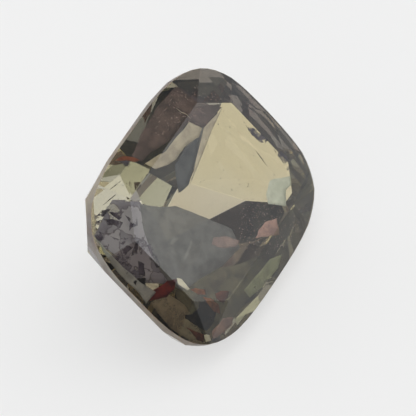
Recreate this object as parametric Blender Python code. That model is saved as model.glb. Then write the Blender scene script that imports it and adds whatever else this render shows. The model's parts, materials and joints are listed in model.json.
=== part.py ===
"""A cut and polished alexandrite: a cushion-shaped stone lying on one facet of its underside.

The stone is cut the way a cutter does it: a block is reduced by one flat facet after another.
It is worked in its own frame, in millimetres, with the table facing +Z, the long way along X
and the origin on its axis halfway up the girdle. It is then tipped onto the facet it rests on,
turned, set down on Z = 0 and scaled to metres. It was cut by eye to save weight, so the facets
of its underside differ in slope from side to side.
"""
from math import copysign, cos, radians, sin

import bmesh
import bpy
from mathutils import Matrix, Vector

MM = 0.001

# Girdle: a rounded oblong outline, and the low wall that runs round it
HALF_LENGTH = 3.34
HALF_WIDTH = 2.74
OUTLINE_POWER = 3.4
GIRDLE_HEIGHT = 0.21

# Angles round the axis, in the first quarter of the outline, where the crown's facets meet on it
CORNER_ANGLE = 39.0
CORNER_HALF_SPREAD = 16.0
WALLS_ALONG_SIDE = 5
WALLS_ALONG_CORNER = 4

# Crown: the table is an octagon, with four long edges and four short ones, a little off the axis
CROWN_HEIGHT = 0.34
TABLE_REACH_X = 2.46
TABLE_REACH_Y = 1.86
TABLE_CORNER_X = 1.70
TABLE_CORNER_Y = 1.10
TABLE_SHIFT = (0.10, -0.02)

# Upper tier of the underside: steep facets that start at the girdle, with their slopes from level.
# The slopes of the sides and of the corners go round the stone anticlockwise from +X
UPPER_SIDE_SLOPES = (72.5, 61.5, 54.5, 66.5)
UPPER_CORNER_SLOPES = (59.5, 56.5, 56.5, 66.5)
UPPER_SHOULDER_SLOPE = 69.5
UPPER_SHOULDER_PLACES = (24.0, 62.0)

# Lower tier of the underside: eight big facets that run down to a short keel along X. Each has the
# way it faces round the axis, its slope from level, and how far past the keel's end it is cut in
KEEL_DEPTH = 3.06
KEEL_HALF_LENGTH = 0.70
REST_SLOPE = 42.5
LOWER_FACETS = (
    (-3.5, 49.0, 0.00),
    (50.5, 47.5, -0.05),
    (85.5, 29.0, 0.00),
    (130.0, 41.0, -0.05),
    (174.0, 36.0, 0.00),
    (221.5, 42.5, 0.10),
    (270.0, REST_SLOPE, 0.00),
    (289.5, 28.0, 0.65),
)

# Rest: it lies on the lower facet that faces -Y, turned about Z as the photograph shows it
TURN = 59.5

# Working values: the rough block's half size, and how near a cut an existing corner snaps to it
BLOCK_HALF = 6.0
SNAP = 0.002

STONE_COLOUR = (0.42, 0.47, 0.36, 1.0)
STONE_ROUGHNESS = 0.03
STONE_IOR = 1.75


def outline_point(angle, z=0.0):
    """Point on the girdle outline at an angle in degrees round the axis."""
    c = cos(radians(angle))
    s = sin(radians(angle))
    sum_of_powers = abs(c / HALF_LENGTH) ** OUTLINE_POWER + abs(s / HALF_WIDTH) ** OUTLINE_POWER
    reach = sum_of_powers ** (-1.0 / OUTLINE_POWER)
    return Vector((reach * c, reach * s, z))


def outline_azimuth(angle):
    """Direction, in radians, that the outline faces at an angle in degrees round the axis."""
    step = 0.01
    along = outline_point(angle + step) - outline_point(angle - step)
    return Vector((1.0, 0.0)).angle_signed(Vector((along.y, -along.x)), 0.0) * -1.0


def all_quarters(angle):
    """The four angles that mirror one angle of the first quarter."""
    return (angle, 180.0 - angle, 180.0 + angle, 360.0 - angle)


def plane_through(a, b, c):
    """Plane through three points as (point, normal), with the normal away from the axis."""
    normal = (b - a).cross(c - a).normalized()
    if normal.dot(a) < 0.0:
        normal = -normal
    return a, normal


def sloping_plane(azimuth, slope, point):
    """Plane through a point that slopes in to the bottom, at so many degrees from level."""
    tilt = radians(slope)
    normal = Vector((sin(tilt) * cos(azimuth), sin(tilt) * sin(azimuth), -cos(tilt)))
    return point, normal


def quarter_places():
    """Angles of the outline's corners in the first quarter, evenly spaced between facet points."""
    stops = (0.0, CORNER_ANGLE - CORNER_HALF_SPREAD, CORNER_ANGLE, CORNER_ANGLE + CORNER_HALF_SPREAD)
    counts = (WALLS_ALONG_SIDE, WALLS_ALONG_CORNER, WALLS_ALONG_CORNER, WALLS_ALONG_SIDE)
    places = []
    for start, end, count in zip(stops, stops[1:] + (90.0,), counts):
        places += [start + (end - start) * k / count for k in range(count)]
    return places


def girdle_planes():
    """Upright walls of the girdle, between neighbouring corners of the outline."""
    first = quarter_places()
    second = [180.0 - angle for angle in reversed(first[1:] + [90.0])]
    half = first + second
    angles = half + [180.0 + angle for angle in half]
    corners = [outline_point(angle) for angle in angles]
    planes = []
    for a, b in zip(corners, corners[1:] + corners[:1]):
        planes.append((a, Vector((b.y - a.y, a.x - b.x, 0.0)).normalized()))
    return planes


def crown_planes():
    """The table, a facet on each of its eight edges, and a pair at each of its eight corners."""
    def table_corner(x, y):
        return Vector((x + TABLE_SHIFT[0], y + TABLE_SHIFT[1], CROWN_HEIGHT))

    def girdle_corner(angle):
        return outline_point(angle, GIRDLE_HEIGHT / 2.0)

    table = []
    for sx, sy, flip in ((1, 1, False), (-1, 1, True), (-1, -1, False), (1, -1, True)):
        pair = [table_corner(sx * TABLE_REACH_X, sy * TABLE_CORNER_Y),
                table_corner(sx * TABLE_CORNER_X, sy * TABLE_REACH_Y)]
        table += reversed(pair) if flip else pair
    middles = []
    shoulders = []
    for quarter in range(4):
        corner = all_quarters(CORNER_ANGLE)[quarter]
        near = [corner - CORNER_HALF_SPREAD, corner + CORNER_HALF_SPREAD]
        shoulders += [girdle_corner(angle) for angle in near]
        middles += [girdle_corner(90.0 * quarter), girdle_corner(corner)]
    planes = [(Vector((0.0, 0.0, CROWN_HEIGHT)), Vector((0.0, 0.0, 1.0)))]
    for k in range(8):
        apex_before = middles[k]
        apex_after = middles[(k + 1) % 8]
        planes.append(plane_through(table[k], table[(k + 1) % 8], apex_after))
        planes.append(plane_through(table[k], apex_before, shoulders[k]))
        planes.append(plane_through(table[k], shoulders[k], apex_after))
    return planes


def upper_planes():
    """Steep facets round the girdle's lower edge."""
    cuts = list(zip((0.0, 90.0, 180.0, 270.0), UPPER_SIDE_SLOPES))
    cuts += zip(all_quarters(CORNER_ANGLE), UPPER_CORNER_SLOPES)
    for place in UPPER_SHOULDER_PLACES:
        cuts += [(angle, UPPER_SHOULDER_SLOPE) for angle in all_quarters(place)]
    planes = []
    for angle, slope in cuts:
        edge = outline_point(angle, -GIRDLE_HEIGHT / 2.0)
        planes.append(sloping_plane(outline_azimuth(angle), slope, edge))
    return planes


def lower_planes():
    """The big facets that run down to the keel, each from the end of the keel that it faces."""
    keel_z = -GIRDLE_HEIGHT / 2.0 - KEEL_DEPTH
    planes = []
    for facing, slope, past_end in LOWER_FACETS:
        azimuth = radians(facing)
        outward = Vector((cos(azimuth), sin(azimuth), 0.0))
        keel_end = Vector((copysign(KEEL_HALF_LENGTH, outward.x), 0.0, keel_z))
        planes.append(sloping_plane(azimuth, slope, keel_end - past_end * outward))
    return planes


def cut(bm, point, normal):
    """Take away everything in front of a plane and close the stone with one flat facet."""
    everything = bm.verts[:] + bm.edges[:] + bm.faces[:]
    result = bmesh.ops.bisect_plane(
        bm, geom=everything, dist=SNAP, plane_co=point, plane_no=normal, clear_outer=True)
    rim = [item for item in result["geom_cut"] if isinstance(item, bmesh.types.BMEdge) and item.is_boundary]
    if len(rim) > 2:
        bmesh.ops.contextual_create(bm, geom=rim)


def cut_stone_mesh():
    """The whole stone in its own frame, in millimetres."""
    bm = bmesh.new()
    bmesh.ops.create_cube(bm, size=2.0 * BLOCK_HALF)
    for point, normal in girdle_planes() + crown_planes() + upper_planes() + lower_planes():
        cut(bm, point, normal)
    bmesh.ops.recalc_face_normals(bm, faces=bm.faces[:])
    return bm


def resting_pose(bm):
    """Tip the stone onto its rest facet, turn it, centre it over the origin and scale it to metres."""
    tip = Matrix.Rotation(radians(REST_SLOPE), 4, "X")
    turn = Matrix.Rotation(radians(TURN), 4, "Z")
    bm.transform(turn @ tip)
    low = [min(v.co[axis] for v in bm.verts) for axis in range(3)]
    high = [max(v.co[axis] for v in bm.verts) for axis in range(3)]
    middle = Vector(((low[0] + high[0]) / 2.0, (low[1] + high[1]) / 2.0, low[2]))
    bm.transform(Matrix.Scale(MM, 4) @ Matrix.Translation(-middle))


def stone_material():
    material = bpy.data.materials.new("polished_alexandrite")
    material.use_nodes = True
    shader = material.node_tree.nodes["Principled BSDF"]
    shader.inputs["Base Color"].default_value = STONE_COLOUR
    shader.inputs["Roughness"].default_value = STONE_ROUGHNESS
    shader.inputs["Metallic"].default_value = 0.0
    shader.inputs["IOR"].default_value = STONE_IOR
    shader.inputs["Transmission Weight"].default_value = 1.0
    return material


def build():
    for thing in list(bpy.data.objects):
        bpy.data.objects.remove(thing, do_unlink=True)
    bm = cut_stone_mesh()
    resting_pose(bm)
    mesh = bpy.data.meshes.new("cut_stone")
    bm.to_mesh(mesh)
    bm.free()
    mesh.materials.append(stone_material())
    stone = bpy.data.objects.new("cut_stone", mesh)
    bpy.context.scene.collection.objects.link(stone)


build()
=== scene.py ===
import json
from math import atan2, cos, degrees, pi, radians, sin

import bmesh
import bpy
from mathutils import Matrix, Vector, noise
from mathutils.bvhtree import BVHTree


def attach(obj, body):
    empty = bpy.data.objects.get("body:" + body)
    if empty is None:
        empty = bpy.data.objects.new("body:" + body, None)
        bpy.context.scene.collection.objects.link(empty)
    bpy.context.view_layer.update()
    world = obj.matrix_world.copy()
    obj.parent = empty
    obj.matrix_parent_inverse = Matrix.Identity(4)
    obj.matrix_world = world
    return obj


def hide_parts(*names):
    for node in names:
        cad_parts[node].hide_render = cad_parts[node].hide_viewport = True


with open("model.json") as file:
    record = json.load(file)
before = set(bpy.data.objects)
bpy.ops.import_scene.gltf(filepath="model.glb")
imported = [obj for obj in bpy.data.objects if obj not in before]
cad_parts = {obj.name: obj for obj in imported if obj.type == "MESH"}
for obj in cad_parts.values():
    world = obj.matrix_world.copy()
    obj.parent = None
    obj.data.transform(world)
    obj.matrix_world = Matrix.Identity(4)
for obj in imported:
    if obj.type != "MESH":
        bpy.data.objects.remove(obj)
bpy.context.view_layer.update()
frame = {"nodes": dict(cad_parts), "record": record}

# Sizes, in metres
MM = 0.001
WELD = 0.0003 * MM
EDGE_WEAR = 0.006 * MM
GIRDLE_WEAR = 0.030 * MM

# Facets, in degrees: faces that are one facet, how level the table and how upright the girdle is,
# the angle past which an edge is worn, and the steepest slope in the underside's lower tier
SAME_FACET = 0.5
TABLE_TILT = 2.0
GIRDLE_TILT = 1.0
WORN_EDGE = 7.0
STEEPEST_LOWER = 52.0

# Floor
FLOOR_GAP = 0.01 * MM
FLOOR_RADIUS = 400.0 * MM
FLOOR_SIDES = 64
FLOOR_COLOUR = (0.86, 0.86, 0.855)
FLOOR_ROUGHNESS = 0.7

# Photograph: its side, and the box that the stone's outline fills, in pixels
PHOTO_SIDE = 416.0
OUTLINE_X = (85.2, 316.6)
OUTLINE_Y = (67.2, 345.4)

# Camera: a long lens, looking down from the front
CAMERA_ELEVATION = 53.2
CAMERA_ROLL = 1.75
CAMERA_LENS = 400.0
CAMERA_SENSOR = 36.0
NEAREST_SEEN = 0.05
FURTHEST_SEEN = 50.0

# Stone: refractive index, and how fast it takes out red, green and blue light, per millimetre
STONE_IOR = 1.75
ABSORPTION = (0.015, 0.020, 0.045)
ABSORPTION_HEADROOM = 1.25

# Colours that light takes on as it crosses a facet: partly the crystal's own, which differs with
# direction as alexandrite's does, and partly painted shade and light that darken or pale each facet
FACET_TINTS_AND_PAINTED_SHADE = {
    "clear": (0.97, 0.97, 0.97),
    "pale_olive": (0.80, 0.78, 0.66),
    "grey_violet": (0.34, 0.31, 0.34),
    "soft_grey": (0.80, 0.79, 0.74),
    "rose_grey": (0.34, 0.28, 0.25),
    "pale_tan": (0.40, 0.38, 0.32),
    "olive_tan": (0.46, 0.45, 0.28),
    "cream": (0.85, 0.70, 0.35),
    "deep_tan": (0.62, 0.51, 0.30),
    "smoky": (0.21, 0.19, 0.165),
    "plum": (0.36, 0.31, 0.33),
    "olive": (0.70, 0.66, 0.52),
    "blue_grey": (0.18, 0.22, 0.28),
}

# Rings of facets: the way each faces, in degrees round the table's axis, and its colour with painted
# shade
CROWN_RING = ((0, "grey_violet"), (45, "grey_violet"), (90, "pale_olive"), (135, "soft_grey"),
              (180, "rose_grey"), (225, "pale_tan"), (270, "olive_tan"), (315, "olive_tan"))
UPPER_RING = ((45, "soft_grey"), (90, "soft_grey"), (135, "soft_grey"), (180, "smoky"),
              (225, "soft_grey"), (270, "smoky"), (315, "blue_grey"), (360, "smoky"))
LOWER_RING = ((-3, "cream"), (50, "plum"), (85, "olive"), (130, "pale_tan"),
              (174, "olive"), (221, "plum"), (262, "smoky"), (295, "deep_tan"))

# Ground girdle and its two worn rims: light tone, dark tone, and how clear each is
GIRDLE_TONES = ((0.80, 0.72, 0.64), (0.58, 0.42, 0.33), 0.9)
RIM_TONES = ((0.95, 0.66, 0.44), (0.80, 0.36, 0.16), 0.5)

# Patterns on the facets: cells to a metre, detail, and the two noise values between which they
# come in. The polishing lines are drawn out along the stone
POLISH_LINES = (5200.0, 2.0, 0.60, 0.74)
LINE_STRETCH = 30.0
DULL_PATCHES = (420.0, 3.0, 0.50, 0.72)
PITS = (9000.0, 1.0, 0.70, 0.76)
TINT_DRIFT = (300.0, 2.0, 0.38, 0.64)

# Polished facets: how far the tint deepens, the roughness of clean polish, lines and pits, how
# much shallower lines are than pits, and the depth in millimetres and strength of both
TINT_POWER = 1.25
CLEAN_ROUGHNESS = 0.02
LINE_ROUGHNESS = 0.10
PIT_ROUGHNESS = 0.15
LINE_SHARE = 0.4
WEAR_DEPTH = 0.0006
WEAR_STRENGTH = 0.25

# Ground girdle: its grain and stain, its roughness, and the grain's depth in millimetres
GIRDLE_GRAIN = (11000.0, 4.0, 0.7)
GIRDLE_STAIN = (1300.0, 3.0, 0.42, 0.66)
GROUND_SMOOTHEST = 0.25
GROUND_SPREAD = 0.4
GRAIN_DEPTH = 0.004
GRAIN_STRENGTH = 0.5

# Sky: brightness low down and overhead, and the sines of elevation between which it changes
SKY_LOW = 0.77
SKY_HIGH = 0.095
SKY_FROM = 0.33
SKY_TO = 0.77
SKY_TINT = (0.97, 0.98, 1.0)

# Soft window: a brighter patch of the sky, where it is, and the cosine at which it begins
WINDOW_AZIMUTH = -2.0
WINDOW_ELEVATION = 56.0
WINDOW_EDGE = 0.75
WINDOW_LIGHT = 0.20

# Dim side of the studio: where it is, the cosines at which it begins and is full, and its strength
DIM_AZIMUTH = -50.0
DIM_ELEVATION = 31.0
DIM_EDGE = 0.72
DIM_FULL = 0.90
DIM_SHARE = 0.80

# Overhead lamp, which lights the floor evenly; the stone's soft shadow comes from the sky's light
LAMP_POWER = 1.37
LAMP_SIZE = 500.0 * MM
LAMP_HEIGHT = 350.0 * MM

# Light paths: bounces inside the stone, and the most that one stray bounce may add
MOST_BOUNCES = 24
BRIGHTEST_BOUNCE = 4.0

# Fissures and chips inside the stone: outlines in pixels of the photograph
RUSTY_FISSURE = ((115, 160), (120, 157), (127, 156), (133, 157), (140, 160), (136, 162), (127, 160),
                 (119, 161))
FISSURE_SHADOW = ((118, 161), (127, 160), (138, 161), (136, 165), (127, 167), (121, 164))
RUSTY_CHIP = ((146, 162), (151, 163), (153, 167), (148, 165))
LEFT_BREAKS = (
    ((97, 216), (102, 210), (111, 209), (107, 213), (103, 217)),
    ((90, 213), (97, 215), (94, 218)),
    ((109, 212), (122, 212), (123, 217), (119, 220), (112, 215)),
    ((95, 222), (101, 220), (105, 226), (101, 232), (104, 240), (97, 241), (94, 231)),
    ((104, 219), (113, 219), (123, 223), (120, 228), (113, 225), (106, 225)),
    ((125, 215), (131, 219), (137, 217), (138, 225), (133, 227), (129, 231), (130, 222)),
    ((110, 236), (119, 239), (130, 236), (123, 245), (117, 241)),
    ((120, 250), (127, 246), (134, 247), (128, 252), (124, 256), (117, 255)),
    ((136, 241), (139, 241), (137, 254), (131, 256), (134, 247)),
    ((146, 242), (153, 245), (155, 253), (159, 267), (157, 268), (150, 253)),
    ((115, 258), (121, 256), (131, 257), (130, 269), (126, 275), (122, 265)),
    ((138, 260), (144, 264), (145, 276), (139, 275)),
)
BLACK_CHIP = ((133, 282), (138, 278), (146, 278), (145, 290), (142, 294), (137, 287))
RED_FISSURE = ((145, 294), (159, 287), (167, 281), (177, 279), (174, 289), (167, 297), (150, 301))
ORANGE_CHIP = ((190, 290), (195, 288), (205, 290), (206, 294), (199, 295))
RED_CHIP = ((215, 294), (220, 291), (229, 291), (228, 298), (223, 303), (216, 299))
DARK_FISSURE = ((199, 301), (206, 300), (218, 307), (216, 315), (212, 325), (206, 331), (195, 325),
                (185, 318), (185, 314), (192, 314), (199, 308))
DARK_FISSURE_RIM = ((203, 297), (211, 298), (219, 305), (220, 314), (214, 312), (208, 304))
RED_STREAK = ((185, 326), (195, 331), (204, 334), (204, 342), (198, 341), (192, 333))
WINDOW_BARS = (
    ((243, 121), (252, 127), (262, 133), (268, 140), (264, 145), (256, 139), (249, 131)),
    ((270, 141), (277, 148), (285, 154), (291, 164), (288, 171), (283, 163), (276, 153)),
)
PALE_SLIVER = ((177, 278), (182, 279), (190, 289), (187, 290), (178, 284))
PALE_FOOT = ((204, 335), (209, 335), (211, 341), (206, 342))

# Veils, and painted reflections: flashes from the facets underneath, drawn as thin sheets too
VIOLET_VEIL = ((88, 208), (112, 200), (140, 202), (158, 222), (170, 246), (184, 278), (166, 284),
               (134, 282), (112, 262), (94, 236))
# Painted reflection: a grey flash of the facets underneath, drawn as a sheet
PAINTED_GREY_REFLECTION = ((140, 204), (160, 207), (176, 206), (206, 218), (232, 229), (240, 248), (222, 266),
             (198, 280), (184, 292), (168, 282), (154, 258), (144, 232))
# Painted reflection, dark: a brown flash of the facets underneath over the upper left
PAINTED_BROWN_REFLECTION = ((176, 86), (192, 96), (208, 104), (222, 107), (204, 128), (188, 122), (168, 142),
              (152, 152), (141, 162), (132, 156), (141, 134), (158, 106))
# Painted reflection: a pale green-grey flash of the facets underneath
PAINTED_GREEN_GREY_REFLECTION = ((93, 234), (106, 250), (122, 266), (140, 282), (156, 292), (146, 304), (134, 298),
                   (116, 282), (101, 262))
# Painted reflection: a brown flash of the facets underneath, at the stone's foot
PAINTED_BROWN_FOOT_REFLECTION = ((150, 303), (168, 294), (184, 304), (194, 320), (205, 339), (190, 341), (170, 328))
# Painted reflection: a tan flash of the facets underneath
TAN_BEAM = ((145, 164), (166, 151), (189, 122), (202, 128), (199, 137), (184, 147), (176, 160),
            (166, 166), (155, 169))
# Painted shade: a dark flash of the facets underneath, drawn as a sheet
DARK_WEDGE = ((201, 134), (196, 160), (189, 185), (179, 193), (176, 178), (175, 165), (186, 148))
# Painted reflection: the tan flash's side by the window
WINDOW_SIDE = ((223, 107), (204, 128), (190, 184), (198, 166), (212, 130))
# Painted reflection, dark: an olive flash of the facets underneath
PAINTED_OLIVE_REFLECTION = ((172, 284), (205, 270), (240, 264), (262, 258), (262, 280), (246, 300), (228, 328),
              (206, 336), (190, 322), (178, 300))
# Painted reflection: a green flash of the facets underneath
PAINTED_GREEN_REFLECTION = ((244, 290), (256, 276), (270, 259), (282, 254), (278, 268), (265, 284), (250, 298))
# Painted reflection: a pale flash of the facets underneath, beside the window
WINDOW_STEP = ((266, 193), (270, 180), (290, 176), (291, 185), (286, 190), (286, 206), (268, 204))
PINK_VEIL = ((212, 332), (223, 318), (233, 317), (232, 325), (223, 333), (214, 339))
# Painted reflection: a pink flash of the facets underneath
PINK_FLASH = ((265, 222), (277, 218), (279, 235), (256, 238), (259, 230))
PINK_SMEAR = ((213, 238), (226, 236), (240, 241), (236, 247), (220, 248), (212, 244))

# Needles and hairlines: their paths in pixels
DARK_NEEDLE = ((256, 151), (259, 155), (262, 159), (267, 166))
HAIRLINES = (
    ((176, 108), (181, 112), (186, 114), (191, 119)),
    ((225, 131), (228, 132), (230, 134)),
    ((219, 136), (220, 143), (221, 148)),
    ((218, 168), (224, 166)),
)

# Tones of sheets, needles and grains, painted reflections and shade among them: light colour, dark
# colour, cover and strength. A cover of 1.6 leaves no holes
STAINS_AND_PAINTED_REFLECTIONS = {
    "rust_stain": ((0.20, 0.060, 0.025), (0.07, 0.020, 0.010), 0.9, 1.0),
    "deep_rust": ((0.105, 0.032, 0.013), (0.05, 0.014, 0.008), 0.9, 1.0),
    "red_stain": ((0.16, 0.022, 0.015), (0.055, 0.010, 0.010), 0.9, 1.0),
    "orange_stain": ((0.20, 0.075, 0.018), (0.10, 0.03, 0.010), 0.9, 1.0),
    # This tone serves cracks and breaks, and the painted shade behind the rusty fissure
    "dark_crack_and_painted_shade": ((0.095, 0.080, 0.095), (0.040, 0.034, 0.045), 0.50, 0.9),
    "black_crack": ((0.022, 0.018, 0.014), (0.006, 0.006, 0.007), 0.9, 1.0),
    # This tone serves a veil and a painted reflection, the pink flash
    "pink_veil_and_painted_flash": ((0.44, 0.27, 0.21), (0.25, 0.155, 0.13), 0.9, 0.7),
    "pink_smear": ((0.40, 0.27, 0.22), (0.24, 0.16, 0.14), 0.8, 0.4),
    # The next nine tones are painted reflections for the flash sheets; the dark ones are painted shade
    "painted_grey_reflection_tone": ((0.17, 0.17, 0.155), (0.12, 0.12, 0.11), 1.6, 0.72),
    "painted_brown_reflection_tone": ((0.15, 0.105, 0.095), (0.075, 0.055, 0.05), 1.6, 0.60),
    "painted_green_grey_reflection_tone": ((0.42, 0.43, 0.37), (0.30, 0.31, 0.28), 1.6, 0.80),
    "painted_brown_foot_reflection_tone": ((0.27, 0.225, 0.14), (0.17, 0.14, 0.09), 1.6, 0.65),
    "painted_olive_reflection_tone": ((0.15, 0.135, 0.08), (0.06, 0.055, 0.038), 0.95, 0.62),
    "tan_flash": ((0.50, 0.44, 0.31), (0.38, 0.33, 0.24), 1.6, 0.75),
    "dark_flash": ((0.085, 0.092, 0.092), (0.05, 0.055, 0.056), 1.6, 0.82),
    "green_flash": ((0.34, 0.36, 0.25), (0.24, 0.25, 0.17), 0.9, 0.65),
    "pale_flash": ((0.58, 0.60, 0.47), (0.48, 0.50, 0.38), 1.6, 0.85),
    "pale_chip": ((0.75, 0.70, 0.52), (0.60, 0.56, 0.42), 0.95, 1.0),
    "dust": ((0.58, 0.48, 0.43), (0.40, 0.28, 0.23), 1.6, 0.6),
    "dark_speck": ((0.06, 0.055, 0.05), (0.02, 0.02, 0.018), 1.6, 1.0),
}

# Patterns in a tone, stains and painted reflections alike: its two tones, and its holes, which a greater
# cover closes
MARK_MOTTLE = (3200.0, 5.0, 0.38, 0.64, 0.65)
MARK_HOLES = (2200.0, 4.0, 0.6)
HOLES_FROM = 0.60
HOLES_TO = 0.72
COVER_SHARE = 0.35
MARK_ROUGHNESS = 0.8
MARK_BUMP_DEPTH = 0.01
MARK_BUMP_STRENGTH = 0.5

# Crushed area, whose tone is violet_haze: colours of its plates and seams, cells to a metre, and how
# far the seams wander
CRUSHED_TONES = ((0.34, 0.325, 0.34), (0.13, 0.12, 0.145), (0.10, 0.085, 0.10))
CRUSHED_PLATES = 2000.0
CRUSHED_DRIFT = (1500.0, 3.0)
CRUSHED_BENDS = 2200.0
BENDS_DETAIL = 4.0
CRUSHED_WANDER = 0.85 * MM

# Plates of the crushed area: what their tones are made of, the width of a seam, which plates are
# gaps, and how dense and rough they are
PLATE_SHARE = 0.5
DRIFT_SHARE = 0.7
PLATE_TONES = (0.36, 0.92)
SEAM_WIDTH = 0.045
GAP_PLATES = (0.86, 0.90)
PLATE_COVER = 0.80
GAP_SHARE = 0.4
PLATE_ROUGHNESS = 0.7
PLATE_STRENGTH = 0.6

# Pieces made of sheets: outlines, nearest and furthest depth in millimetres, and tone
SHEETS = (
    ("rusty_fissure", (RUSTY_FISSURE, RUSTY_CHIP), 0.25, 0.45, "rust_stain"),
    ("fissure_shadow", (FISSURE_SHADOW,), 0.30, 0.60, "dark_crack_and_painted_shade"),
    ("left_breaks", LEFT_BREAKS, 0.15, 0.50, "dark_crack_and_painted_shade"),
    ("black_chip", (BLACK_CHIP,), 0.2, 0.35, "black_crack"),
    ("red_fissure", (RED_FISSURE,), 0.2, 0.4, "red_stain"),
    ("rusty_chips", (RED_CHIP, RED_STREAK), 0.15, 0.3, "deep_rust"),
    ("orange_chips", (ORANGE_CHIP, DARK_FISSURE_RIM), 0.15, 0.3, "orange_stain"),
    ("dark_fissure", (DARK_FISSURE,), 0.25, 0.45, "black_crack"),
    # This piece holds a veil and a painted reflection, the pink flash
    ("pink_veil_and_painted_flash", (PINK_VEIL, PINK_FLASH), 0.15, 0.3, "pink_veil_and_painted_flash"),
    ("pink_smear", (PINK_SMEAR,), 0.15, 0.3, "pink_smear"),
    ("violet_veil", (VIOLET_VEIL,), 0.65, 0.75, "violet_haze"),
    # The next nine pieces are painted reflections, flashes of the facets underneath drawn as sheets; the
    # dark ones are painted shade
    ("painted_grey_reflection", (PAINTED_GREY_REFLECTION,), 0.45, 0.50, "painted_grey_reflection_tone"),
    ("painted_brown_reflection", (PAINTED_BROWN_REFLECTION,), 0.35, 0.45, "painted_brown_reflection_tone"),
    ("painted_green_grey_reflection", (PAINTED_GREEN_GREY_REFLECTION,), 0.25, 0.30, "painted_green_grey_reflection_tone"),
    ("painted_brown_foot_reflection", (PAINTED_BROWN_FOOT_REFLECTION,), 0.50, 0.55, "painted_brown_foot_reflection_tone"),
    ("tan_beam", (TAN_BEAM, WINDOW_SIDE), 0.20, 0.26, "tan_flash"),
    ("dark_wedge", (DARK_WEDGE,), 0.32, 0.36, "dark_flash"),
    ("painted_olive_reflection", (PAINTED_OLIVE_REFLECTION,), 0.60, 0.65, "painted_olive_reflection_tone"),
    ("painted_green_reflection", (PAINTED_GREEN_REFLECTION,), 0.18, 0.22, "green_flash"),
    ("window_step", (WINDOW_STEP,), 0.12, 0.16, "pale_flash"),
    ("window_bars", WINDOW_BARS, 0.05, 0.10, "dark_crack_and_painted_shade"),
    ("pale_slivers", (PALE_SLIVER, PALE_FOOT), 0.05, 0.12, "pale_chip"),
)

# Form of a sheet: millimetres of thickness, of raggedness at its rim and inside, and of ripple,
# how finely it is divided, and the seed of a piece's first sheet
SHEET_THICKNESS = 0.006
RAGGED_RIM = 0.022
RAGGED_INSIDE = 0.006
RIPPLE_HEIGHT = 0.03
SHEET_CUTS = 3
SHEET_SEED = 1.7

# Noise in a sheet: waves to a metre in its raggedness and ripple, waves to a pixel in its depth,
# and the shifts that make three numbers of one noise
RAGGED_SCALE = 9000.0
RIPPLE_SCALE = 3500.0
DEPTH_SCALE = 0.13
RAGGED_SHIFTS = (0.0, 17.3, 41.9)

# Pieces made of needles: paths, depth and radius in millimetres, and tone
NEEDLES = (
    ("dark_needle", (DARK_NEEDLE,), 0.12, 0.012, "black_crack"),
    ("hairlines", HAIRLINES, 0.02, 0.006, "pale_chip"),
)
NEEDLE_SIDES = 6
NEEDLE_TIP = 0.25

# Where dust and specks lie: outlines in pixels, on the surface
DUSTY_CORNER = ((152, 116), (176, 88), (198, 82), (222, 96), (234, 106), (202, 128), (178, 124),
                (150, 150))
DUSTY_SIDE = ((240, 195), (268, 196), (292, 208), (312, 200), (300, 240), (262, 262), (236, 244))
SPECKLED_WINDOW = ((228, 112), (242, 120), (284, 158), (290, 200), (240, 192), (190, 182), (205, 130))
PATCH_STEP = 3

# How many grains there are, their radii, how deep they lie, and the seed that places them
PER_SQUARE_MM = 1.0 / (MM * MM)
DUST_AMOUNTS = {
    "density": 120.0 * PER_SQUARE_MM,
    "smallest": 0.005 * MM,
    "largest": 0.013 * MM,
    "deepest": 0.0,
}
SPECK_AMOUNTS = {
    "density": 11.0 * PER_SQUARE_MM,
    "smallest": 0.004 * MM,
    "largest": 0.016 * MM,
    "deepest": 0.6 * MM,
}
DUST_SEED = 11
SPECK_SEED = 5
DEPTH_SEED_SHIFT = 3
SIZE_SEED_SHIFT = 7


def mount(name):
    """Point and direction of one of the record's mounts."""
    found = next(m for m in frame["record"]["mounts"] if m["name"] == name)
    return Vector(found["pos_m"]), Vector(found["axis"]).normalized()


# The stone's own axes: X and Y along its sides, Z out of the table
TABLE_CENTRE, STONE_Z = mount("table_facet")
STONE_X = Vector((0.0, 0.0, 1.0)).cross(STONE_Z).normalized()
STONE_Y = STONE_Z.cross(STONE_X)


class Value:
    """A number or colour in a material, which takes part in ordinary arithmetic."""

    def __init__(self, graph, socket):
        self.graph = graph
        self.socket = socket

    def _math(self, operation, *operands):
        return self.graph.node("ShaderNodeMath", {"operation": operation}, *operands)

    def __add__(self, other):
        return self._math("ADD", self, other)

    def __radd__(self, other):
        return self._math("ADD", other, self)

    def __sub__(self, other):
        return self._math("SUBTRACT", self, other)

    def __rsub__(self, other):
        return self._math("SUBTRACT", other, self)

    def __mul__(self, other):
        return self._math("MULTIPLY", self, other)

    def __rmul__(self, other):
        return self._math("MULTIPLY", other, self)


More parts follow.
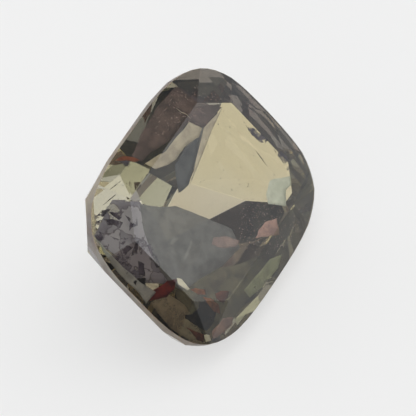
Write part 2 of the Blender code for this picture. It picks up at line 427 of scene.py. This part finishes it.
class Graph:
    """The node tree of a material or of the sky, built one call at a time."""

    def __init__(self, owner):
        owner.use_nodes = True
        self.tree = owner.node_tree
        self.tree.nodes.clear()

    def node(self, kind, settings=None, *values, out=0, **named):
        """Adds a node: its settings first, then its sockets by place or by name."""
        made = self.tree.nodes.new(kind)
        for key, setting in (settings or {}).items():
            setattr(made, key, setting)
        for place, value in enumerate(values):
            self.feed(made.inputs[place], value)
        for name, value in named.items():
            self.feed(made.inputs[name.replace("_", " ")], value)
        return Value(self, made.outputs[out])

    def feed(self, socket, value):
        if isinstance(value, Value):
            self.tree.links.new(value.socket, socket)
        elif value is not None:
            socket.default_value = value

    def place(self):
        return self.node("ShaderNodeTexCoord", out="Object")

    def stretched(self, place, along, stretch):
        """A place squeezed along one direction, so that a pattern is drawn out that way."""
        shift = self.node("ShaderNodeVectorMath", {"operation": "DOT_PRODUCT"}, place, along, out="Value")
        amount = shift * (1.0 / stretch - 1.0)
        offset = self.node("ShaderNodeVectorMath", {"operation": "SCALE"}, along, Scale=amount)
        return self.node("ShaderNodeVectorMath", {"operation": "ADD"}, place, offset)

    def noise(self, place, scale, detail, roughness=0.55):
        return self.node("ShaderNodeTexNoise", None, Vector=place, Scale=scale, Detail=detail,
                         Roughness=roughness)

    def between(self, value, low, high):
        """0 below low, 1 above high, smooth between."""
        return self.node("ShaderNodeMapRange", {"interpolation_type": "SMOOTHSTEP"}, value, low, high)

    def pattern(self, place, scale, detail, low, high, roughness=0.55):
        """Noise that comes in between two of its values."""
        return self.between(self.noise(place, scale, detail, roughness), low, high)

    def blend(self, amount, first, second):
        """A colour between two others."""
        made = self.tree.nodes.new("ShaderNodeMix")
        made.data_type = "RGBA"
        colour_inputs = [s for s in made.inputs if s.type == "RGBA"]
        self.feed(made.inputs[0], amount)
        for socket, colour in zip(colour_inputs, (first, second)):
            self.feed(socket, colour if isinstance(colour, Value) else (*colour, 1.0))
        return Value(self, next(s for s in made.outputs if s.type == "RGBA"))

    def bump(self, height, depth_mm, strength):
        return self.node("ShaderNodeBump", None, Strength=strength, Distance=depth_mm * MM, Height=height)

    def surface(self, **named):
        """The shader and the output; returns the output node."""
        shader = self.tree.nodes.new("ShaderNodeBsdfPrincipled")
        for name, value in named.items():
            self.feed(shader.inputs[name.replace("_", " ")], value)
        output = self.tree.nodes.new("ShaderNodeOutputMaterial")
        self.tree.links.new(shader.outputs["BSDF"], output.inputs["Surface"])
        return output


def view_axes():
    """Right, up and back of the camera."""
    elevation = radians(CAMERA_ELEVATION)
    roll = radians(CAMERA_ROLL)
    level = Vector((1.0, 0.0, 0.0))
    upright = Vector((0.0, sin(elevation), cos(elevation)))
    back = Vector((0.0, -cos(elevation), sin(elevation)))
    return level * cos(roll) - upright * sin(roll), level * sin(roll) + upright * cos(roll), back


RIGHT, UP, BACK = view_axes()


def framing():
    """Size of a photograph pixel, and the point of the model at the photograph's centre."""
    points = [v.co for v in frame["nodes"]["cut_stone"].data.vertices]
    across = [p.dot(RIGHT) for p in points]
    upward = [p.dot(UP) for p in points]
    pixel = (max(across) - min(across)) / (OUTLINE_X[1] - OUTLINE_X[0])
    centre_x = (max(across) + min(across)) / 2.0 + (PHOTO_SIDE / 2.0 - sum(OUTLINE_X) / 2.0) * pixel
    centre_y = (max(upward) + min(upward)) / 2.0 - (PHOTO_SIDE / 2.0 - sum(OUTLINE_Y) / 2.0) * pixel
    depth = TABLE_CENTRE.dot(BACK)
    return pixel, RIGHT * centre_x + UP * centre_y + BACK * depth


PIXEL, AIM = framing()
CAMERA_DISTANCE = PIXEL * PHOTO_SIDE * CAMERA_LENS / CAMERA_SENSOR
CAMERA_PLACE = AIM + BACK * CAMERA_DISTANCE


def add_camera():
    data = bpy.data.cameras.new("camera")
    data.lens = CAMERA_LENS
    data.sensor_width = CAMERA_SENSOR
    data.clip_start = CAMERA_DISTANCE * NEAREST_SEEN
    data.clip_end = CAMERA_DISTANCE * FURTHEST_SEEN
    camera = bpy.data.objects.new("camera", data)
    turn = Matrix((RIGHT, UP, BACK)).transposed().to_4x4()
    camera.matrix_world = Matrix.Translation(CAMERA_PLACE) @ turn
    bpy.context.scene.collection.objects.link(camera)
    bpy.context.scene.camera = camera


def add_piece(name, bm, *materials, smooth=False):
    """Makes an object at the origin of a mesh that is already in place."""
    mesh = bpy.data.meshes.new(name)
    bm.to_mesh(mesh)
    bm.free()
    for material in materials:
        mesh.materials.append(material)
    for face in mesh.polygons:
        face.use_smooth = smooth
    piece = bpy.data.objects.new(name, mesh)
    bpy.context.scene.collection.objects.link(piece)
    return piece


def facet_bmesh():
    """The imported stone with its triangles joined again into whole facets."""
    bm = bmesh.new()
    bm.from_mesh(frame["nodes"]["cut_stone"].data)
    bmesh.ops.remove_doubles(bm, verts=bm.verts, dist=WELD)
    bmesh.ops.dissolve_limit(bm, angle_limit=radians(SAME_FACET), verts=bm.verts[:], edges=bm.edges[:])
    bm.normal_update()
    return bm


def stone_tree():
    """The facets as something that a line of sight can be tested against."""
    bm = facet_bmesh()
    tree = BVHTree.FromBMesh(bm)
    bm.free()
    return tree


STONE_TREE = stone_tree()


def hit(pixel):
    """Where the line of sight through a pixel of the photograph meets the stone."""
    across, down = pixel
    aimed = AIM + RIGHT * ((across - PHOTO_SIDE / 2.0) * PIXEL) - UP * ((down - PHOTO_SIDE / 2.0) * PIXEL)
    way = (aimed - CAMERA_PLACE).normalized()
    place, normal, facet, _ = STONE_TREE.ray_cast(CAMERA_PLACE, way)
    if place is None:
        raise ValueError("the stone doesn't show at pixel %s" % (pixel,))
    return place, normal, facet, way


def beneath(pixel, depth_mm):
    """The point that shows at a pixel of the photograph, at a depth behind the surface."""
    place, normal, _, way = hit(pixel)
    facing = -way.dot(normal)
    slant = (1.0 - (1.0 - facing ** 2) / STONE_IOR ** 2) ** 0.5
    bent = way / STONE_IOR + normal * (facing / STONE_IOR - slant)
    return place + bent.normalized() * depth_mm * MM


def polished_material(finish, colour):
    """Polished facets, each in a colour that is partly the crystal's own and partly painted shade and
    light.
    """
    material = bpy.data.materials.new("alexandrite_" + finish)
    graph = Graph(material)
    place = graph.place()
    lines = graph.pattern(graph.stretched(place, STONE_X, LINE_STRETCH), *POLISH_LINES)
    patches = graph.pattern(place, *DULL_PATCHES)
    pits = graph.pattern(place, *PITS)
    drift = graph.pattern(place, *TINT_DRIFT)
    deeper = tuple(c ** TINT_POWER for c in colour)
    rough = patches * (lines * LINE_ROUGHNESS + CLEAN_ROUGHNESS) + pits * PIT_ROUGHNESS
    normal = graph.bump(1.0 - lines * patches * LINE_SHARE - pits, WEAR_DEPTH, WEAR_STRENGTH)
    output = graph.surface(Base_Color=graph.blend(drift, colour, deeper), Roughness=rough, IOR=STONE_IOR,
                           Transmission_Weight=1.0, Normal=normal)
    add_absorption(graph, output)
    return material


def ground_material(name, light, dark, clearness):
    """Ground stone that isn't polished, for the girdle and its rims, with a warm stain in its grain."""
    material = bpy.data.materials.new(name)
    graph = Graph(material)
    place = graph.place()
    grain = graph.noise(place, *GIRDLE_GRAIN)
    colour = graph.blend(graph.pattern(place, *GIRDLE_STAIN), light, dark)
    normal = graph.bump(grain, GRAIN_DEPTH, GRAIN_STRENGTH)
    rough = grain * GROUND_SPREAD + GROUND_SMOOTHEST
    output = graph.surface(Base_Color=colour, Roughness=rough, IOR=STONE_IOR,
                           Transmission_Weight=clearness, Normal=normal)
    add_absorption(graph, output)
    return material


def add_absorption(graph, output):
    """The stone's own colour, which deepens with the length of the light's way through it."""
    volume = graph.tree.nodes.new("ShaderNodeVolumeAbsorption")
    strongest = max(ABSORPTION) * ABSORPTION_HEADROOM
    volume.inputs["Color"].default_value = (*[1.0 - a / strongest for a in ABSORPTION], 1.0)
    volume.inputs["Density"].default_value = strongest / MM
    graph.tree.links.new(volume.outputs["Volume"], output.inputs["Volume"])


def nearest_in_ring(turn, ring):
    """The colour in a ring of facets that faces nearest to a turn in degrees."""
    return min(ring, key=lambda entry: abs((turn - entry[0] + 180.0) % 360.0 - 180.0))[1]


def facet_finish(facet):
    """Name of the finish of a facet, which also gives its tint and painted shade, from the way it faces
    in the stone's own frame.
    """
    rise = facet.normal.dot(STONE_Z)
    turn = degrees(atan2(facet.normal.dot(STONE_Y), facet.normal.dot(STONE_X)))
    if rise > cos(radians(TABLE_TILT)):
        return "clear"
    if rise > sin(radians(GIRDLE_TILT)):
        return nearest_in_ring(turn, CROWN_RING)
    if rise > -sin(radians(GIRDLE_TILT)):
        return "girdle"
    if rise > -cos(radians(STEEPEST_LOWER)):
        return nearest_in_ring(turn, UPPER_RING)
    return nearest_in_ring(turn, LOWER_RING)


def add_stone():
    """The stone, with fine wear on its facet edges and a ground girdle between two worn rims."""
    materials = {name: polished_material(name, colour) for name, colour in FACET_TINTS_AND_PAINTED_SHADE.items()}
    materials["girdle"] = ground_material("ground_girdle", *GIRDLE_TONES)
    materials["rim"] = ground_material("worn_rim", *RIM_TONES)
    order = list(materials)
    ground = order.index("girdle")
    rim = order.index("rim")
    bm = facet_bmesh()
    for facet in bm.faces:
        facet.material_index = order.index(facet_finish(facet))
    inner = [e for e in bm.edges if len(e.link_faces) == 2]
    rims = [e for e in inner if sum(f.material_index == ground for f in e.link_faces) == 1]
    sharp = [e for e in inner if e.calc_face_angle() > radians(WORN_EDGE)
             and not any(f.material_index == ground for f in e.link_faces)]
    bmesh.ops.bevel(bm, geom=rims, offset=GIRDLE_WEAR, segments=2, profile=0.5, affect="EDGES",
                    material=rim, clamp_overlap=True)
    sharp = [e for e in sharp if e.is_valid]
    bmesh.ops.bevel(bm, geom=sharp, offset=EDGE_WEAR, segments=1, affect="EDGES", material=-1,
                    clamp_overlap=True)
    bmesh.ops.remove_doubles(bm, verts=bm.verts[:], dist=WELD)
    stone = add_piece("cut_stone_polished", bm, *materials.values())
    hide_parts("cut_stone")
    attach(stone, "root")


def stain_and_painted_reflection_material(name, light, dark, cover, strength):
    """The tone of a sheet, needle or grain, stains and painted reflections alike: two colours, broken up
    by noise, and as dense as its strength says.
    """
    material = bpy.data.materials.new(name)
    graph = Graph(material)
    place = graph.place()
    mottle = graph.pattern(place, *MARK_MOTTLE)
    lowered = cover * COVER_SHARE
    solid = graph.between(graph.noise(place, *MARK_HOLES), HOLES_FROM - lowered, HOLES_TO - lowered)
    colour = graph.blend(mottle, light, dark)
    normal = graph.bump(mottle, MARK_BUMP_DEPTH, MARK_BUMP_STRENGTH)
    graph.surface(Base_Color=colour, Roughness=MARK_ROUGHNESS, Alpha=solid * strength, Normal=normal)
    return material


def crackled_material(name, light, dark, seam):
    """A crushed area: small plates that differ in tone, with dark seams between and a few gaps."""
    material = bpy.data.materials.new(name)
    graph = Graph(material)
    plain = graph.place()
    wander = graph.node("ShaderNodeTexNoise", None, out="Color", Vector=plain, Scale=CRUSHED_BENDS,
                        Detail=BENDS_DETAIL)
    shift = graph.node("ShaderNodeVectorMath", {"operation": "SCALE"}, wander, Scale=CRUSHED_WANDER)
    place = graph.node("ShaderNodeVectorMath", {"operation": "ADD"}, plain, shift)
    plates = graph.node("ShaderNodeTexVoronoi", None, out="Color", Vector=place, Scale=CRUSHED_PLATES)
    edges = graph.node("ShaderNodeTexVoronoi", {"feature": "DISTANCE_TO_EDGE"}, Vector=place,
                       Scale=CRUSHED_PLATES)
    tone = graph.node("ShaderNodeSeparateColor", None, plates, out="Red")
    drift = graph.noise(plain, *CRUSHED_DRIFT)
    dimness = graph.between(tone * PLATE_SHARE + drift * DRIFT_SHARE, *PLATE_TONES)
    solid = graph.between(edges, 0.0, SEAM_WIDTH)
    colour = graph.blend(solid, seam, graph.blend(dimness, light, dark))
    cover = PLATE_COVER - graph.between(tone, *GAP_PLATES) * GAP_SHARE
    normal = graph.bump(solid, MARK_BUMP_DEPTH, PLATE_STRENGTH)
    graph.surface(Base_Color=colour, Roughness=PLATE_ROUGHNESS, Alpha=cover, Normal=normal)
    return material


def ragged_offset(place):
    """An offset that changes from place to place and is the same in every run."""
    return Vector([noise.noise(place + Vector((s, -s, s * 0.5))) for s in RAGGED_SHIFTS])


def thicken(sheet, offset):
    """Closes an open sheet with a copy of itself behind it and a wall round the rim."""
    front = sheet.faces[:]
    rim = [edge.link_loops[0] for edge in sheet.edges if edge.is_boundary]
    sides = [(loop.vert, loop.link_loop_next.vert) for loop in rim]
    behind = {vert: sheet.verts.new(vert.co + offset) for vert in sheet.verts[:]}
    for face in front:
        sheet.faces.new([behind[vert] for vert in reversed(face.verts[:])])
    for first, second in sides:
        sheet.faces.new((second, first, behind[first], behind[second]))


def merge(bm, part):
    """Adds one mesh in the making to another, and frees it."""
    mesh = bpy.data.meshes.new("part")
    part.to_mesh(mesh)
    part.free()
    bm.from_mesh(mesh)
    bpy.data.meshes.remove(mesh)


def add_sheet(bm, outline, near_mm, far_mm, seed):
    """Adds a thin, ragged, slightly rippled sheet behind an outline seen in the photograph."""
    corners = []
    for place in outline:
        share = noise.noise(Vector((place[0] * DEPTH_SCALE, place[1] * DEPTH_SCALE, seed))) * 0.5 + 0.5
        corners.append(beneath(place, near_mm + (far_mm - near_mm) * share))
    sheet = bmesh.new()
    ring = [sheet.verts.new(p) for p in corners]
    sheet.faces.new(ring)
    bmesh.ops.triangulate(sheet, faces=sheet.faces[:])
    bmesh.ops.subdivide_edges(sheet, edges=sheet.edges[:], cuts=SHEET_CUTS, use_grid_fill=True)
    sheet.normal_update()
    for vert in sheet.verts:
        ragged = ragged_offset(vert.co * RAGGED_SCALE + Vector((seed, 0.0, 0.0)))
        ripple = noise.noise(vert.co * RIPPLE_SCALE + Vector((0.0, seed, 0.0)))
        pull = RAGGED_RIM if vert.is_boundary else RAGGED_INSIDE
        vert.co += (ragged * pull + vert.normal * ripple * RIPPLE_HEIGHT) * MM
    sheet.normal_update()
    facing = sum((f.normal for f in sheet.faces), Vector()).normalized()
    if facing.dot(BACK) < 0.0:
        bmesh.ops.reverse_faces(sheet, faces=sheet.faces[:])
        facing = -facing
    thicken(sheet, facing * -SHEET_THICKNESS * MM)
    merge(bm, sheet)


def add_sheets(name, outlines, near_mm, far_mm, material):
    """One piece made of a sheet for each outline."""
    bm = bmesh.new()
    for number, outline in enumerate(outlines):
        add_sheet(bm, outline, near_mm, far_mm, number + SHEET_SEED)
    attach(add_piece(name, bm, material, smooth=True), "root")


def add_needles(name, paths, depth_mm, radius_mm, material):
    """Thin rods that taper at both ends, along paths seen in the photograph."""
    bm = bmesh.new()
    angles = [2.0 * pi * k / NEEDLE_SIDES for k in range(NEEDLE_SIDES)]
    for path in paths:
        points = [beneath(place, depth_mm) for place in path]
        rings = []
        for number, point in enumerate(points):
            before = points[max(number - 1, 0)]
            after = points[min(number + 1, len(points) - 1)]
            way = (after - before).normalized()
            side = way.cross(STONE_Z).normalized()
            lift = side.cross(way)
            end = number in (0, len(points) - 1)
            reach = radius_mm * MM * (NEEDLE_TIP if end else 1.0)
            rings.append([bm.verts.new(point + (side * cos(a) + lift * sin(a)) * reach) for a in angles])
        for first, second in zip(rings, rings[1:]):
            for k in range(NEEDLE_SIDES):
                following = (k + 1) % NEEDLE_SIDES
                bm.faces.new((first[k], first[following], second[following], second[k]))
        bm.faces.new(rings[0])
        bm.faces.new(rings[-1])
    bmesh.ops.recalc_face_normals(bm, faces=bm.faces[:])
    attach(add_piece(name, bm, material, smooth=True), "root")


def make_stains_and_painted_reflections():
    """A material for each tone of the sheets, needles and grains."""
    stains_and_painted_reflections = {name: stain_and_painted_reflection_material(name, *tones) for name, tones in STAINS_AND_PAINTED_REFLECTIONS.items()}
    stains_and_painted_reflections["violet_haze"] = crackled_material("violet_haze", *CRUSHED_TONES)
    return stains_and_painted_reflections


def add_marks(stains_and_painted_reflections):
    """The cracks, chips, veils and needles that show inside the stone, and the flashes, which are painted
    reflections.
    """
    for name, outlines, near_mm, far_mm, tone in SHEETS:
        add_sheets(name, outlines, near_mm, far_mm, stains_and_painted_reflections[tone])
    for name, paths, depth_mm, radius_mm, tone in NEEDLES:
        add_needles(name, paths, depth_mm, radius_mm, stains_and_painted_reflections[tone])


def inside_outline(place, outline):
    """Whether a pixel lies within a closed outline of pixels."""
    x, y = place
    inside = False
    for (ax, ay), (bx, by) in zip(outline, outline[1:] + outline[:1]):
        if (ay > y) != (by > y) and x < ax + (bx - ax) * (y - ay) / (by - ay):
            inside = not inside
    return inside


def surface_patch(outline, step):
    """Small squares lying on the facets within an outline seen in the photograph."""
    bm = bmesh.new()
    xs = [p[0] for p in outline]
    ys = [p[1] for p in outline]
    for left in range(min(xs), max(xs), step):
        for top in range(min(ys), max(ys), step):
            ring = ((left, top), (left, top + step), (left + step, top + step), (left + step, top))
            if not all(inside_outline(p, outline) for p in ring):
                continue
            hits = [hit(p) for p in ring]
            if len({h[2] for h in hits}) == 1:
                bm.faces.new([bm.verts.new(h[0]) for h in hits])
    return bm


def scatter_tree(name, material):
    """Geometry Nodes that strew small rough grains over a surface, or a little way beneath it."""
    tree = bpy.data.node_groups.new(name, "GeometryNodeTree")
    interface = tree.interface
    interface.new_socket("Surface", in_out="INPUT", socket_type="NodeSocketGeometry")
    for label in ("Density", "Smallest", "Largest", "Deepest"):
        interface.new_socket(label, in_out="INPUT", socket_type="NodeSocketFloat")
    interface.new_socket("Seed", in_out="INPUT", socket_type="NodeSocketInt")
    interface.new_socket("Grains", in_out="OUTPUT", socket_type="NodeSocketGeometry")
    given = tree.nodes.new("NodeGroupInput").outputs
    made = tree.nodes.new("NodeGroupOutput").inputs

    def feed(socket, source):
        """Links a socket to another one, or gives it a value."""
        if isinstance(source, bpy.types.NodeSocket):
            tree.links.new(source, socket)
        else:
            socket.default_value = source

    def node(kind, settings=None, **links):
        new = tree.nodes.new(kind)
        for key, setting in (settings or {}).items():
            setattr(new, key, setting)
        for label, source in links.items():
            feed(new.inputs[label.replace("_", " ")], source)
        return new

    def random_number(low, high, shift):
        """A random number for each grain; Random Value has a socket of each kind under one name."""
        new = node("FunctionNodeRandomValue", {"data_type": "FLOAT"})
        floats = [s for s in new.inputs if s.type == "VALUE"]
        feed(floats[0], low)
        feed(floats[1], high)
        seed = node("ShaderNodeMath", {"operation": "ADD"})
        feed(seed.inputs[0], given["Seed"])
        feed(seed.inputs[1], shift)
        feed(new.inputs["Seed"], seed.outputs[0])
        return next(s for s in new.outputs if s.type == "VALUE")

    points = node("GeometryNodeDistributePointsOnFaces", {"distribute_method": "RANDOM"},
                  Mesh=given["Surface"], Density=given["Density"], Seed=given["Seed"])
    depth = random_number(0.0, given["Deepest"], DEPTH_SEED_SHIFT)
    sink = node("ShaderNodeVectorMath", {"operation": "SCALE"}, Scale=depth)
    feed(sink.inputs[0], points.outputs["Normal"])
    flip = node("ShaderNodeVectorMath", {"operation": "SCALE"}, Scale=-1.0)
    feed(flip.inputs[0], sink.outputs[0])
    lowered = node("GeometryNodeSetPosition", Geometry=points.outputs["Points"], Offset=flip.outputs[0])
    grain = node("GeometryNodeMeshIcoSphere", Radius=1.0, Subdivisions=1)
    spin = node("FunctionNodeRandomValue", {"data_type": "FLOAT_VECTOR"})
    vectors = [s for s in spin.inputs if s.type == "VECTOR"]
    feed(vectors[1], (2.0 * pi, 2.0 * pi, 2.0 * pi))
    turned = next(s for s in spin.outputs if s.type == "VECTOR")
    size = random_number(given["Smallest"], given["Largest"], SIZE_SEED_SHIFT)
    strewn = node("GeometryNodeInstanceOnPoints", Points=lowered.outputs[0],
                  Instance=grain.outputs["Mesh"], Rotation=turned, Scale=size)
    real = node("GeometryNodeRealizeInstances", Geometry=strewn.outputs[0])
    finished = node("GeometryNodeSetMaterial", Geometry=real.outputs[0], Material=material)
    feed(made["Grains"], finished.outputs[0])
    return tree


def strew(name, outlines, material, seed, **amounts):
    """A piece made of grains over some outlined parts of the surface."""
    bm = bmesh.new()
    for outline in outlines:
        merge(bm, surface_patch(outline, PATCH_STEP))
    bed = add_piece(name + "_bed", bm, material)
    modifier = bed.modifiers.new("strew", "NODES")
    modifier.node_group = scatter_tree(name, material)
    inputs = {s.name: s.identifier for s in modifier.node_group.interface.items_tree
              if s.item_type == "SOCKET" and s.in_out == "INPUT"}
    for label, amount in amounts.items():
        modifier[inputs[label.capitalize()]] = amount
    modifier[inputs["Seed"]] = seed
    bed.update_tag()
    evaluated = bed.evaluated_get(bpy.context.evaluated_depsgraph_get())
    mesh = bpy.data.meshes.new_from_object(evaluated)
    mesh.name = name
    bpy.data.objects.remove(bed, do_unlink=True)
    grains = bpy.data.objects.new(name, mesh)
    bpy.context.scene.collection.objects.link(grains)
    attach(grains, "root")


def add_grains(stains_and_painted_reflections):
    """Dust on the table and crown, and dark specks inside the stone."""
    strew("dust_on_facets", (DUSTY_CORNER, DUSTY_SIDE), stains_and_painted_reflections["dust"], DUST_SEED, **DUST_AMOUNTS)
    strew("dark_specks", (SPECKLED_WINDOW,), stains_and_painted_reflections["dark_speck"], SPECK_SEED, **SPECK_AMOUNTS)


def add_floor():
    material = bpy.data.materials.new("pale_floor")
    graph = Graph(material)
    graph.surface(Base_Color=(*FLOOR_COLOUR, 1.0), Roughness=FLOOR_ROUGHNESS)
    bm = bmesh.new()
    bmesh.ops.create_circle(bm, cap_ends=True, segments=FLOOR_SIDES, radius=FLOOR_RADIUS,
                            matrix=Matrix.Translation((0.0, 0.0, -FLOOR_GAP)))
    add_piece("floor", bm, material)


def add_sky():
    """Bright low down and dim overhead, with one soft brighter patch and one dim side."""
    world = bpy.data.worlds.new("studio")
    bpy.context.scene.world = world
    graph = Graph(world)
    direction = graph.node("ShaderNodeTexCoord", out="Generated")

    def closeness(azimuth, elevation):
        """Cosine of the angle between a direction of the sky and the one looked at."""
        turn = radians(azimuth)
        rise = radians(elevation)
        towards = Vector((cos(turn) * cos(rise), sin(turn) * cos(rise), sin(rise)))
        return graph.node("ShaderNodeVectorMath", {"operation": "DOT_PRODUCT"}, direction, towards,
                          out="Value")

    upward = graph.node("ShaderNodeSeparateXYZ", None, direction, out="Z")
    height = graph.between(upward, SKY_FROM, SKY_TO)
    near_window = closeness(WINDOW_AZIMUTH, WINDOW_ELEVATION)
    window = graph.node("ShaderNodeMapRange", None, near_window, WINDOW_EDGE, 1.0)
    window = graph.node("ShaderNodeMath", {"operation": "SQRT"}, window)
    dim = graph.between(closeness(DIM_AZIMUTH, DIM_ELEVATION), DIM_EDGE, DIM_FULL)
    strength = (1.0 - height) * (SKY_LOW - SKY_HIGH) + SKY_HIGH + window * WINDOW_LIGHT
    strength = strength * (1.0 - dim * DIM_SHARE)
    background = graph.node("ShaderNodeBackground", None, (*SKY_TINT, 1.0), strength)
    output = graph.tree.nodes.new("ShaderNodeOutputWorld")
    graph.tree.links.new(background.socket, output.inputs["Surface"])


def add_lamp():
    """A broad lamp overhead for the floor, which doesn't show in the stone."""
    data = bpy.data.lights.new("overhead", "AREA")
    data.shape = "DISK"
    data.size = LAMP_SIZE
    data.energy = LAMP_POWER
    data.use_shadow = False
    lamp = bpy.data.objects.new("overhead", data)
    lamp.location = (0.0, 0.0, LAMP_HEIGHT)
    lamp.visible_glossy = False
    lamp.visible_transmission = False
    bpy.context.scene.collection.objects.link(lamp)


def set_light_paths():
    """Enough bounces for light that is thrown about inside the stone."""
    scene = bpy.context.scene
    scene.cycles.max_bounces = MOST_BOUNCES
    scene.cycles.transmission_bounces = MOST_BOUNCES
    scene.cycles.glossy_bounces = MOST_BOUNCES
    scene.cycles.transparent_max_bounces = MOST_BOUNCES
    scene.cycles.sample_clamp_indirect = BRIGHTEST_BOUNCE
    scene.view_settings.view_transform = "Standard"


add_camera()
add_floor()
add_sky()
add_lamp()
set_light_paths()
add_stone()
stains_and_painted_reflections = make_stains_and_painted_reflections()
add_marks(stains_and_painted_reflections)
add_grains(stains_and_painted_reflections)
